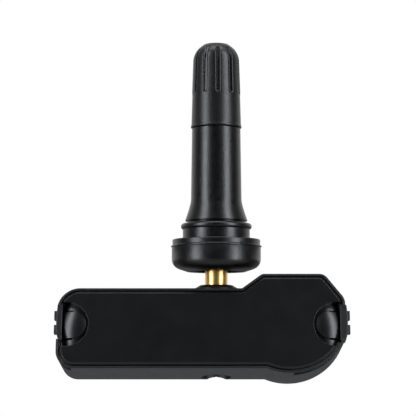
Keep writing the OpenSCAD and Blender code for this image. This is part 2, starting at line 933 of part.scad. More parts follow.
// Outline of the dish around a tongue, with the narrow slots that free its sides
module dish_outline() {
    difference() {
        intersection() {
            translate([recess_x, 0])
                circle(r = latch_r + 0.02);
            translate([tongue_x0, -latch_r])
                square([tongue_x1, 2 * latch_r]);
        }
        for (side = [-1, 1])
            translate([tongue_x0 - over, side * (tongue_w + tongue_slot) / 2 - tongue_slot / 2])
                square([tongue_slot_x - tongue_x0 + over, tongue_slot]);
    }
}

// Domed tongue and the deeper dish around it, at both ends of the cover
module tongues() {
    dish_crown = 20;
    at_ends()
        intersection() {
            crowned_shell(recess_deep, crown_r);
            between(face_y, leg_y + tongue_t)
                tongue_outline();
        }
    intersection() {
        between(face_y, shelf_y)
            outline(cover_inset);
        at_ends()
            intersection() {
                crowned_shell(recess_deep + dish_drop, dish_crown);
                between(face_y, shelf_y - play)
                    dish_outline();
            }
    }
}

// Leg behind the tip of each tongue, with the hook that catches behind the strap
module hooks() {
    leg_t = 0.9;
    at_ends() {
        box([tongue_x0, leg_y, -tongue_w / 2 + 0.3],
            [tongue_x0 + leg_t, hook_y + hook_h, tongue_w / 2 - 0.3]);
        box([tongue_x0 - hook_out, hook_y, -tongue_w / 2 + 0.3],
            [tongue_x0 + leg_t, hook_y + hook_h, tongue_w / 2 - 0.3]);
    }
}

module front_cover() {
    bevel_y = face_y + cover_bevel;
    color("#1e1f21")
        in_housing() {
            difference() {
                union() {
                    between(bevel_y, ledge_y)
                        outline(cover_inset);
                    for (part = ["bar", "end"])
                        bevel_slab(part, face_y, bevel_y, cover_inset + cover_bevel,
                            cover_inset + 0.02);
                }
                at_ends() {
                    peg(recess_x, 0, latch_r, face_y - over, ledge_y + over);
                    box([-over, face_y - over, -latch_r], [recess_x, ledge_y + over, latch_r]);
                }
                difference() {
                    between(face_y + cover_t, ledge_y + over)
                        outline(cover_inset + 1.5);
                    at_ends()
                        box([0, face_y, -bay_w / 2], [bay_x + 0.8, back_y, bay_w / 2]);
                }
            }
            tongues();
            hooks();
        }
}

// Board with a round notch for the boss
module circuit_board() {
    color("#1f5c38")
        difference() {
            in_housing()
                intersection() {
                    between(board_y, board_back)
                        outline(board_inset + free);
                    box([board_x0, board_y - over, bottom_z - end_r],
                        [board_x1, back_y, hump_z + over]);
                }
            rod(boss_d / 2 + free, boss_z - 2 * end_r, boss_z);
        }
}

// Coin cell: the can, and the smaller lid that faces the board
module battery_cell() {
    lid_h = 0.5;
    lid_r = battery_d / 2 - 1.1;
    color("#c6c8cc")
        in_housing() {
            peg(battery_x, battery_z, battery_d / 2, battery_y + lid_h, battery_back);
            peg(battery_x, battery_z, lid_r, battery_y, battery_y + lid_h + play);
        }
}

// Bent strip from the battery to the board, drawn as a profile in x and y
module tab(x, y, z) {
    reach = 4;
    translate([0, 0, z - tab_w / 2])
        linear_extrude(height = tab_w)
            polygon([[battery_x + reach, y], [battery_x + reach, y + tab_t], [x, y + tab_t],
                [x, board_back + tab_t], [x - 1, board_back + tab_t], [x - 1, board_back],
                [x + tab_t, board_back], [x + tab_t, y]]);
}

module tab_negative() {
    color("#b9bcc2")
        in_housing()
            tab(neg_x, battery_y - tab_t, neg_z);
}

module tab_positive() {
    color("#b9bcc2")
        in_housing()
            tab(pos_x, battery_back, pos_z);
}

// Pressure chip with the vent in its top
module pressure_chip() {
    vent_r = 0.6;
    color("#25262a")
        in_housing()
            difference() {
                box([chip_x - chip_w / 2, board_back, chip_z - chip_w / 2],
                    [chip_x + chip_w / 2, board_back + chip_h, chip_z + chip_w / 2]);
                peg(chip_x, chip_z, vent_r, board_back + chip_h / 2, board_back + chip_h + over);
            }
}

// Soft ring between the chip and the port in the back wall
module port_gasket() {
    color("#7d8288")
        in_housing()
            difference() {
                peg(chip_x, chip_z, gasket_r, board_back + chip_h, port_y);
                peg(chip_x, chip_z, port_d / 2, board_back, port_y + over);
            }
}

module port_filter() {
    color("#e6e6e2")
        in_housing()
            peg(chip_x, chip_z, filter_r, back_y - filter_h - 0.2, back_y - 0.2);
}

module transmitter_chip() {
    side = 5;
    thick = 0.9;
    color("#2a2b2f")
        in_housing()
            translate([side_chip_x, 0, side_chip_z])
                box([-side / 2, board_back, -side / 2],
                    [side / 2, board_back + thick, side / 2]);
}

module crystal() {
    size_x = 3.2;
    size_z = 2.5;
    thick = 0.8;
    above = 5.4;
    color("#d4d5d8")
        in_housing()
            translate([side_chip_x, 0, side_chip_z + above])
                box([-size_x / 2, board_back, -size_z / 2],
                    [size_x / 2, board_back + thick, size_z / 2]);
}

// Two rows of small capacitors beside the chips
module board_capacitors() {
    count = 5;
    pitch = 1.9;
    long = 1.2;
    wide = 0.7;
    beside = 4.3;
    low_z = side_chip_z - 2.6;
    color("#a08a68")
        in_housing()
            for (i = [0:count - 1], side = [-1, 1])
                translate([side_chip_x + side * beside, 0, low_z + i * pitch])
                    box([-wide / 2, board_back, 0], [wide / 2, board_back + wide, long]);
}

// Ferrite core with a square cheek at each end
module coil_core() {
    rod_r = 0.9;
    mid_y = board_back + coil_w / 2;
    color("#4a4b4f")
        in_housing()
            union() {
                for (x = [coil_x - coil_l / 2, coil_x + coil_l / 2 - coil_cheek])
                    box([x, board_back, coil_z - coil_w / 2],
                        [x + coil_cheek, board_back + coil_w, coil_z + coil_w / 2]);
                translate([coil_x - coil_l / 2 + coil_cheek / 2, mid_y, coil_z])
                    rotate([0, 90, 0])
                        cylinder(r = rod_r, h = coil_l - coil_cheek);
            }
}

module coil_winding() {
    rod_r = 0.9;
    wound_r = 1.3;
    length = coil_l - 2 * coil_cheek - 2 * play;
    color("#a8622c")
        in_housing()
            translate([coil_x - length / 2, board_back + coil_w / 2, coil_z])
                rotate([0, 90, 0])
                    difference() {
                        cylinder(r = wound_r, h = length);
                        translate([0, 0, -over])
                            cylinder(r = rod_r + play, h = length + 2 * over);
                    }
}

// Bent strip that stands on the board at both ends
module loop_antenna() {
    foot = 1.6;
    top = board_back + antenna_rise;
    color("#c8a869")
        in_housing()
            translate([0, 0, antenna_z - antenna_w / 2])
                linear_extrude(height = antenna_w)
                    polygon([[antenna_x0, board_back], [antenna_x0 + foot, board_back],
                        [antenna_x0 + foot, top - antenna_t], [antenna_x1 - foot, top - antenna_t],
                        [antenna_x1 - foot, board_back], [antenna_x1, board_back],
                        [antenna_x1, board_back + antenna_t],
                        [antenna_x1 - foot + antenna_t, board_back + antenna_t],
                        [antenna_x1 - foot + antenna_t, top], [antenna_x0 + foot - antenna_t, top],
                        [antenna_x0 + foot - antenna_t, board_back + antenna_t],
                        [antenna_x0, board_back + antenna_t]]);
}

valve_cap();
cap_seal();
valve_stem();
rubber_stem();
core_plug();
core_ring();
core_barrel();
core_pin();
core_poppet();
core_spring();
stem_screw();
housing();
front_cover();
circuit_board();
battery_cell();
tab_positive();
tab_negative();
pressure_chip();
port_gasket();
port_filter();
transmitter_chip();
crystal();
board_capacitors();
coil_core();
coil_winding();
loop_antenna();
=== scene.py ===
"""Looks of a tyre pressure sensor on a snap-in rubber valve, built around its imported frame."""

import json
import logging
import math
from dataclasses import dataclass
from enum import Enum
from typing import Iterable, Sequence

import bmesh
import bpy
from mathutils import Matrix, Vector


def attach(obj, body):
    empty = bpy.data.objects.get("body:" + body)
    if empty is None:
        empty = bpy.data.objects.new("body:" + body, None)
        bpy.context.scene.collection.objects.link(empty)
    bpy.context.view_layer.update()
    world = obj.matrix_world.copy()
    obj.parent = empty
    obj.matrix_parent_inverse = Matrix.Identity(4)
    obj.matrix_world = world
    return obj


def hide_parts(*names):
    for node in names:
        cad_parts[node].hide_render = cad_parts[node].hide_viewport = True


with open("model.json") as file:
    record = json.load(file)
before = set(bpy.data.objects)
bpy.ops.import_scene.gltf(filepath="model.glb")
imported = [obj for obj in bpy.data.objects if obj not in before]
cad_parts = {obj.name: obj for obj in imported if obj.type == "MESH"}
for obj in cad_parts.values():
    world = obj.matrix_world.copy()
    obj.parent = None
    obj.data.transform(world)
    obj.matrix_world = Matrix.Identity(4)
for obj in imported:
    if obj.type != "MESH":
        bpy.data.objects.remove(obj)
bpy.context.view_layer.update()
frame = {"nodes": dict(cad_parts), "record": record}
LOG = logging.getLogger("sensor")

# The frame is in metres, and the sizes of the pieces below are in millimetres
MM = 0.001
# Vertices that are closer than this are merged
WELD = 0.002 * MM

Point = tuple[float, float]
Colour = tuple[float, float, float]


class Slot(Enum):
    """Material slots of the part's record."""

    RUBBER = "valve_rubber"
    CAP = "cap_plastic"
    SEAL = "seal_rubber"
    BRASS = "stem_brass"
    CORE_SEAL = "core_seal"
    STEEL = "bright_steel"
    HOUSING = "housing_plastic"
    COVER = "cover_plastic"
    BOARD = "board_laminate"
    NICKEL = "nickel_strip"
    CHIP = "chip_plastic"
    GASKET = "gasket_rubber"
    FILTER = "filter_membrane"
    CERAMIC = "capacitor_ceramic"
    FERRITE = "ferrite"
    COPPER = "copper_wire"
    ANTENNA = "antenna_brass"


class Marks(Enum):
    """Kinds of fine marks that a surface can carry."""

    GRAIN = "grain"
    TURNED = "turned"
    BRUSHED = "brushed"
    WOVEN = "woven"


# Scale of a surface's marks along X, Y and Z, where a small one draws them out
LONG = 0.04
STRETCH: dict[Marks, tuple[float, float, float]] = {
    Marks.TURNED: (LONG, LONG, 1.0),
    Marks.BRUSHED: (LONG, 1.0, 1.0),
    Marks.WOVEN: (1.0, 1.0, 0.5),
}


class Tree:
    """Short calls to fill a node tree."""

    def __init__(self, tree: bpy.types.NodeTree) -> None:
        """Take a node tree and empty it."""
        self.tree = tree
        self.tree.nodes.clear()

    def add(self, kind: str, **values: object) -> bpy.types.Node:
        """Add a node and set its properties.

        Args:
            kind: The node's type name.
            **values: Properties of the node.

        Returns:
            The new node.
        """
        node = self.tree.nodes.new(kind)
        for name, value in values.items():
            setattr(node, name, value)
        return node

    def link(self, source: bpy.types.Node, out: str | int, target: bpy.types.Node, into: str | int) -> None:
        """Join an output of one node to an input of another, each by its name or number."""
        self.tree.links.new(source.outputs[out], target.inputs[into])


class Graph(Tree):
    """Node tree of one material, with its shader and short calls for its noises."""

    noise_low = 0.3
    noise_high = 0.7

    def __init__(self, material: bpy.types.Material) -> None:
        """Empty the material's tree and add the shader with its output.

        Args:
            material: The material to fill.
        """
        super().__init__(material.node_tree)
        output = self.add("ShaderNodeOutputMaterial")
        self.shader = self.add("ShaderNodeBsdfPrincipled")
        self.link(self.shader, "BSDF", output, "Surface")

    def noise(
        self,
        place: bpy.types.Node,
        size: float,
        detail: float,
        distortion: float = 0.0,
        roughness: float = 0.5,
    ) -> bpy.types.Node:
        """Add a noise texture on the coordinates that a node gives.

        Args:
            place: Node that gives the coordinates on its first output.
            size: Size of the noise's patches, in millimetres.
            detail: Octaves of finer noise.
            distortion: How far the patches are bent out of shape.
            roughness: Strength of the finer octaves.

        Returns:
            The noise node.
        """
        node = self.add("ShaderNodeTexNoise")
        node.inputs["Scale"].default_value = 1.0 / (size * MM)
        node.inputs["Detail"].default_value = detail
        node.inputs["Distortion"].default_value = distortion
        node.inputs["Roughness"].default_value = roughness
        self.link(place, 0, node, "Vector")
        return node

    def spread(self, source: bpy.types.Node, low: float, high: float) -> bpy.types.Node:
        """Map a noise to a range of values.

        Args:
            source: Noise node.
            low: Value at the noise's dark end.
            high: Value at its bright end.

        Returns:
            The mapping node.
        """
        node = self.add("ShaderNodeMapRange")
        node.inputs["From Min"].default_value = self.noise_low
        node.inputs["From Max"].default_value = self.noise_high
        node.inputs["To Min"].default_value = low
        node.inputs["To Max"].default_value = high
        self.link(source, 0, node, "Value")
        return node


@dataclass(frozen=True)
class Finish:
    """One surface: its two close shades, its gloss and its fine marks. Lengths are in millimetres."""

    slot: Slot
    shade: Colour
    other_shade: Colour
    roughness: float
    metallic: float = 0.0
    specular: float = 0.5
    patch: float = 5.0
    blend: Point = (0.32, 0.68)
    cloud_share: float = 0.37
    marks: Marks = Marks.GRAIN
    mark_size: float = 0.3
    mark_depth: float = 0.01
    gloss_spread: float = 0.06
    soft_edge: float = 0.0

    def material(self) -> bpy.types.Material:
        """Build the finish as a procedural material.

        Returns:
            The material.
        """
        made = bpy.data.materials.new(self.slot.value)
        made.use_nodes = True
        graph = Graph(made)
        place = graph.add("ShaderNodeTexCoord")
        spot = graph.add("ShaderNodeMapping")
        graph.link(place, "Object", spot, "Vector")
        self._colour(graph, spot)
        self._gloss(graph, spot)
        self._relief(graph, spot)
        graph.shader.inputs["Metallic"].default_value = self.metallic
        graph.shader.inputs["Specular IOR Level"].default_value = self.specular
        return made

    def _colour(self, graph: Graph, spot: bpy.types.Node) -> None:
        """Blend the two shades in soft patches.

        Args:
            graph: The material's node tree.
            spot: Node with the coordinates.
        """
        patches = graph.noise(spot, self.patch, detail=5.0, distortion=0.4, roughness=0.6)
        ramp = graph.add("ShaderNodeValToRGB")
        shades = (self.shade, self.other_shade)
        for stop, position, shade in zip(ramp.color_ramp.elements, self.blend, shades):
            stop.position = position
            stop.color = (*shade, 1.0)
        graph.link(patches, 0, ramp, "Fac")
        graph.link(ramp, "Color", graph.shader, "Base Color")

    def _gloss(self, graph: Graph, spot: bpy.types.Node) -> None:
        """Vary the roughness a little over the surface.

        Args:
            graph: The material's node tree.
            spot: Node with the coordinates.
        """
        cloud = graph.noise(spot, self.patch * self.cloud_share, detail=6.0, distortion=0.2, roughness=0.65)
        low, high = self.roughness - self.gloss_spread, self.roughness + self.gloss_spread
        graph.link(graph.spread(cloud, low, high), 0, graph.shader, "Roughness")

    def _relief(self, graph: Graph, spot: bpy.types.Node) -> None:
        """Add the fine marks, over softly rounded edges where the finish has them.

        Args:
            graph: The material's node tree.
            spot: Node with the coordinates.
        """
        bump = graph.add("ShaderNodeBump")
        bump.inputs["Distance"].default_value = self.mark_depth * MM
        bump.inputs["Strength"].default_value = 1.0
        graph.link(self._marks(graph, spot), 0, bump, "Height")
        if self.soft_edge:
            edge = graph.add("ShaderNodeBevel", samples=6)
            edge.inputs["Radius"].default_value = self.soft_edge * MM
            graph.link(edge, "Normal", bump, "Normal")
        graph.link(bump, "Normal", graph.shader, "Normal")

    def _marks(self, graph: Graph, spot: bpy.types.Node) -> bpy.types.Node:
        """Make the height pattern of the fine marks.

        Args:
            graph: The material's node tree.
            spot: Node with the coordinates.

        Returns:
            The node whose first output is the height.
        """
        if self.marks is Marks.GRAIN:
            return graph.noise(spot, self.mark_size, detail=3.0)
        stretch = graph.add("ShaderNodeMapping")
        stretch.inputs["Scale"].default_value = STRETCH[self.marks]
        graph.link(spot, 0, stretch, "Vector")
        return graph.noise(stretch, self.mark_size, detail=2.0)


FINISHES: tuple[Finish, ...] = (
    Finish(Slot.RUBBER, (0.0008, 0.0008, 0.0010), (0.0014, 0.0014, 0.0016), 0.31,
           specular=0.44, patch=3.0, mark_size=0.4, mark_depth=0.02, gloss_spread=0.05),
    Finish(Slot.CAP, (0.0024, 0.0024, 0.0026), (0.0036, 0.0036, 0.0039), 0.36,
           specular=0.42, patch=2.5, mark_size=0.4, mark_depth=0.02, gloss_spread=0.04, soft_edge=0.05),
    Finish(Slot.SEAL, (0.045, 0.045, 0.05), (0.06, 0.06, 0.065), 0.6),
    Finish(Slot.BRASS, (0.89, 0.55, 0.18), (0.94, 0.62, 0.24), 0.34, 1.0,
           marks=Marks.TURNED, mark_size=0.12, mark_depth=0.002, gloss_spread=0.03),
    Finish(Slot.CORE_SEAL, (0.24, 0.05, 0.035), (0.3, 0.07, 0.05), 0.55),
    Finish(Slot.STEEL, (0.60, 0.61, 0.63), (0.68, 0.69, 0.70), 0.28, 1.0,
           marks=Marks.TURNED, mark_size=0.15, mark_depth=0.004),
    Finish(Slot.HOUSING, (0.0050, 0.0051, 0.0055), (0.0066, 0.0067, 0.0071), 0.42,
           specular=0.44, patch=8.0, mark_size=0.16, mark_depth=0.012, gloss_spread=0.03, soft_edge=0.34),
    Finish(Slot.COVER, (0.0027, 0.0028, 0.0031), (0.0037, 0.0038, 0.0041), 0.31,
           specular=0.46, patch=11.0, mark_size=0.2, mark_depth=0.006, gloss_spread=0.02, soft_edge=0.16),
    Finish(Slot.BOARD, (0.02, 0.13, 0.055), (0.03, 0.17, 0.08), 0.38, marks=Marks.WOVEN, mark_size=0.4),
    Finish(Slot.NICKEL, (0.62, 0.60, 0.56), (0.70, 0.68, 0.64), 0.26, 1.0,
           marks=Marks.BRUSHED, mark_size=0.1),
    Finish(Slot.CHIP, (0.025, 0.025, 0.028), (0.035, 0.035, 0.038), 0.5, mark_size=0.12),
    Finish(Slot.GASKET, (0.18, 0.2, 0.22), (0.22, 0.24, 0.26), 0.55),
    Finish(Slot.FILTER, (0.74, 0.74, 0.71), (0.82, 0.82, 0.79), 0.85,
           marks=Marks.WOVEN, mark_size=0.12, mark_depth=0.03),
    Finish(Slot.CERAMIC, (0.40, 0.29, 0.17), (0.48, 0.36, 0.22), 0.4, patch=1.0, mark_size=0.15),
    Finish(Slot.FERRITE, (0.06, 0.06, 0.065), (0.08, 0.08, 0.085), 0.42, mark_size=0.2, mark_depth=0.02),
    Finish(Slot.COPPER, (0.60, 0.23, 0.09), (0.68, 0.29, 0.12), 0.25, 1.0,
           marks=Marks.BRUSHED, mark_size=0.08),
    Finish(Slot.ANTENNA, (0.72, 0.55, 0.28), (0.79, 0.62, 0.34), 0.24, 1.0,
           marks=Marks.BRUSHED, mark_size=0.1),
)


class Wardrobe:
    """The materials by slot, and the calls that put them on pieces."""

    def __init__(self, finishes: Sequence[Finish]) -> None:
        """Build the material of every finish once."""
        self.made = {finish.slot: finish.material() for finish in finishes}

    def dress(self, piece: bpy.types.Object, slot: Slot) -> None:
        """Put a slot's material on the whole piece.

        Args:
            piece: The object to dress.
            slot: The record's slot.
        """
        piece.data.materials.clear()
        piece.data.materials.append(self.made[slot])
        for face in piece.data.polygons:
            face.material_index = 0

    def dress_frame(self) -> None:
        """Put its slot's material on every CAD node."""
        for part in frame["record"]["subparts"]:
            self.dress(frame["nodes"][part["node"]], Slot(part["material_slot"]))
            LOG.info("dressed %s", part["node"])


class Bench:
    """Modelling steps in edit mode that the pieces share."""

    @staticmethod
    def clear() -> None:
        """Leave edit mode and deselect everything."""
        if bpy.context.object and bpy.context.object.mode != "OBJECT":
            bpy.ops.object.mode_set(mode="OBJECT")
        bpy.ops.object.select_all(action="DESELECT")

    @staticmethod
    def take(piece: bpy.types.Object) -> None:
        """Make one piece the only selected and active one.

        Args:
            piece: The object to take.
        """
        Bench.clear()
        piece.select_set(True)
        bpy.context.view_layer.objects.active = piece

    @staticmethod
    def name(label: str) -> bpy.types.Object:
        """Name the active object and its mesh.

        Args:
            label: The new name.

        Returns:
            The object.
        """
        piece = bpy.context.object
        piece.name = label
        piece.data.name = label
        return piece

    @staticmethod
    def chain(label: str, outline: Sequence[Point]) -> bpy.types.Object:
        """Draw a half section in the XZ plane, one extruded vertex at a time.

        Args:
            label: Name of the new piece.
            outline: Radius and height of each point, in millimetres.

        Returns:
            The object, left in edit mode.
        """
        Bench.clear()
        first = outline[0]
        bpy.ops.mesh.primitive_plane_add(size=MM, location=(first[0] * MM, 0.0, first[1] * MM))
        piece = Bench.name(label)
        bpy.ops.object.mode_set(mode="EDIT")
        # The plane shrinks to the first vertex, which stays selected
        bpy.ops.mesh.merge(type="CENTER")
        last = first
        for point in outline[1:]:
            step = ((point[0] - last[0]) * MM, 0.0, (point[1] - last[1]) * MM)
            bpy.ops.mesh.extrude_region_move(TRANSFORM_OT_translate={"value": step})
            last = point
        return piece

    @staticmethod
    def lathe(label: str, outline: Sequence[Point], steps: int, start: float = 0.0) -> bpy.types.Object:
        """Spin a closed half section around the valve's axis.

        Args:
            label: Name of the new piece.
            outline: Radius and height of each point, in millimetres, without the closing one.
            steps: Number of faces around.
            start: Angle of the first column, in degrees.

        Returns:
            The object, in object mode.
        """
        piece = Bench.chain(label, [*outline, outline[0]])
        bpy.ops.mesh.select_all(action="SELECT")
        bpy.ops.mesh.spin(steps=steps, angle=math.tau, center=(0.0, 0.0, 0.0), axis=(0.0, 0.0, 1.0))
        Bench.weld()
        Bench.face_out()
        bpy.ops.object.mode_set(mode="OBJECT")
        Bench.settle()
        piece.rotation_euler = (0.0, 0.0, math.radians(start))
        Bench.settle()
        return piece

    @staticmethod
    def weld() -> None:
        """Merge the doubles of the edited piece."""
        bpy.ops.mesh.select_all(action="SELECT")
        bpy.ops.mesh.remove_doubles(threshold=WELD)

    @staticmethod
    def face_out() -> None:
        """Turn all faces of the edited piece outwards."""
        bpy.ops.mesh.select_all(action="SELECT")
        bpy.ops.mesh.normals_make_consistent(inside=False)

    @staticmethod
    def settle() -> None:
        """Move the selected object's place, turn and scale into its mesh."""
        bpy.ops.object.transform_apply(location=True, rotation=True, scale=True)

    @staticmethod
    def choose(piece: bpy.types.Object, wanted: Iterable[int]) -> None:
        """Select some vertices of the edited piece, and nothing else.

        Args:
            piece: The object in edit mode.
            wanted: Numbers of the vertices.
        """
        bpy.ops.mesh.select_all(action="DESELECT")
        mesh = bmesh.from_edit_mesh(piece.data)
        mesh.verts.ensure_lookup_table()
        for number in wanted:
            mesh.verts[number].select = True
        mesh.select_flush_mode()
        bmesh.update_edit_mesh(piece.data)

    @staticmethod
    def smooth(piece: bpy.types.Object, degrees: float) -> None:
        """Shade a piece smooth, with sharp edges above an angle in degrees."""
        Bench.take(piece)
        bpy.ops.object.shade_smooth_by_angle(angle=math.radians(degrees))

    @staticmethod
    def apply(piece: bpy.types.Object) -> None:
        """Apply all modifiers of a piece.

        Args:
            piece: The object to finish.
        """
        Bench.take(piece)
        for modifier in list(piece.modifiers):
            bpy.ops.object.modifier_apply(modifier=modifier.name)


def arc(centre: Point, radius: float, start: float, end: float, count: int) -> list[Point]:
    """Points along an arc in the half section.

    Args:
        centre: Centre of the arc, in millimetres.
        radius: Its radius, in millimetres.
        start: First angle, in degrees.
        end: Last angle, in degrees.
        count: Number of steps.

    Returns:
        The points, both ends included.
    """
    turns = [math.radians(start + (end - start) * i / count) for i in range(count + 1)]
    return [(centre[0] + radius * math.cos(t), centre[1] + radius * math.sin(t)) for t in turns]


def finish_piece(piece: bpy.types.Object, wardrobe: Wardrobe, slot: Slot, body: str, *nodes: str) -> None:
    """Dress a new piece, let it ride and hide the CAD nodes that it stands for.

    Args:
        piece: The new piece.
        wardrobe: The materials.
        slot: The record's slot.
        body: The CAD body it moves with.
        *nodes: CAD nodes that it replaces.
    """
    wardrobe.dress(piece, slot)
    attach(piece, body)
    if nodes:
        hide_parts(*nodes)
    LOG.info("made %s with %d faces", piece.name, len(piece.data.polygons))


@dataclass
class RubberStem:
    """Moulded rubber of the valve, from the hollow under the flange to the shoulder under the cap.

    Lengths are in millimetres and angles in degrees. Heights count from the rim's inside face.
    """

    steps: int = 144
    hollow_r: float = 6.2
    hollow_top: float = -2.6
    flange_r: float = 10.0
    flange_bottom: float = -6.75
    flange_edge: float = 2.2
    flange_inset: float = 0.42
    flange_round: float = 0.3
    mouth_drop: float = 0.6
    mouth_round: float = 0.3
    sag_share: float = 0.3
    sag_power: int = 4
    flash_r: float = 10.2
    flash_z: float = -1.6
    seat_z: float = -0.08
    groove_r: float = 7.55
    groove_fillet: float = 0.15
    line_count: int = 7
    line_foot: float = 0.22
    line_pitch: float = 0.27
    line_depth: float = 0.035
    ring_z: float = 2.83
    ring_r: float = 7.98
    ring_h: float = 1.4
    ring_under: float = -66.0
    notch_r: float = 6.5
    notch_z: float = 3.86
    cone_r: float = 7.02
    cone_z: float = 4.12
    flare_knee: float = 0.06
    flare_foot: float = 0.1
    flare_top: float = 8.4
    flare_steps: int = 12
    flare_bend: float = 1.2
    low_r: float = 5.7
    top_r: float = 5.48
    top_z: float = 25.17
    top_round: float = 0.35
    shank_r: float = 3.62
    barb_room: float = 4.25
    foot_r: float = 2.56
    sharp_edge: float = 34.0

    def flange(self) -> list[Point]:
        """Draw the hollow, the flange and its flash.

        Returns:
            Their half section, from the foot's side outwards and up.
        """
        inner = [(self.foot_r, self.hollow_top), (self.foot_r + 1.0, self.hollow_top)]
        low_z = self.flange_bottom - self.mouth_drop
        mouth_centre = (self.hollow_r + self.mouth_round, low_z + self.mouth_round)
        mouth = arc(mouth_centre, self.mouth_round, 205, 270, 5)
        edge_x = self.flange_r - self.flange_edge
        edge_centre = (edge_x, self.flange_bottom + self.flange_edge)
        corner: list[Point] = []
        for x, z in arc(edge_centre, self.flange_edge, -90, 0, 16):
            share = 1 - (x - edge_x) / self.flange_edge
            corner.append((x, z - self.mouth_drop * self.sag_share * share**self.sag_power))
        flash = [
            (self.flange_r, self.flash_z - 0.3),
            (self.flange_r + 0.05, self.flash_z - 0.2),
            (self.flash_r, self.flash_z - 0.12),
            (self.flash_r, self.flash_z + 0.05),
            (self.flange_r - 0.04, self.flash_z + 0.18),
            (self.flange_r - 0.16, self.flash_z + 0.32),
        ]
        top_centre = (self.flange_r - self.flange_inset, self.seat_z - self.flange_round)
        return inner + mouth + corner + flash + arc(top_centre, self.flange_round, 0, 90, 6)

    def seat(self) -> list[Point]:
        """Draw the groove, with its fine moulding lines, and the snap ring.

        Returns:
            Their half section, upwards.
        """
        fillet_centre = (self.groove_r + self.groove_fillet, self.seat_z + self.groove_fillet)
        fillet = arc(fillet_centre, self.groove_fillet, 270, 180, 4)
        wall: list[Point] = []
        for i in range(self.line_count):
            z = self.seat_z + self.line_foot + i * self.line_pitch
            wall += [(self.groove_r, z), (self.groove_r - self.line_depth, z + self.line_pitch * 0.5)]
        half = self.ring_h / 2
        ring = arc((self.ring_r - half, self.ring_z), half, self.ring_under, 90, 16)
        return fillet + wall + ring

    def upper(self) -> list[Point]:
        """Draw the notch, the cone, the flare, the long stem, the shoulder and the inside.

        Returns:
            Their half section, upwards and back down the inside.
        """
        cone = [
            (self.notch_r + 0.12, self.notch_z - 0.22),
            (self.notch_r, self.notch_z - 0.1),
            (self.notch_r, self.notch_z + 0.04),
            (self.notch_r + 0.12, self.notch_z + 0.14),
            (self.cone_r - 0.08, self.cone_z - 0.06),
            (self.cone_r, self.cone_z + 0.02),
        ]
        flare: list[Point] = []
        knee = self.low_r + self.flare_knee
        foot_z = self.cone_z + self.flare_foot
        for i in range(1, self.flare_steps + 1):
            share = i / self.flare_steps
            ease = (1 - share) ** self.flare_bend
            flare.append((knee + (self.cone_r - knee) * ease, foot_z + (self.flare_top - foot_z) * share))
        flare.append((self.low_r, self.flare_top + 0.6))
        top_centre = (self.top_r - self.top_round, self.top_z - self.top_round)
        shoulder = arc(top_centre, self.top_round, 0, 90, 5)
        inner = [
            (self.shank_r, self.top_z),
            (self.shank_r, self.top_z - 1.0),
            (self.barb_room, self.top_z - 1.4),
            (self.barb_room, self.hollow_top + 0.9),
            (self.foot_r, self.hollow_top + 0.5),
        ]
        return cone + flare + shoulder + inner

    def build(self, wardrobe: Wardrobe) -> None:
        """Model the rubber and put it in place of its node.

        Args:
            wardrobe: The materials.
        """
        piece = Bench.lathe("rubber_body", self.flange() + self.seat() + self.upper(), self.steps)
        Bench.smooth(piece, self.sharp_edge)
        finish_piece(piece, wardrobe, Slot.RUBBER, "sensor", "rubber_stem")


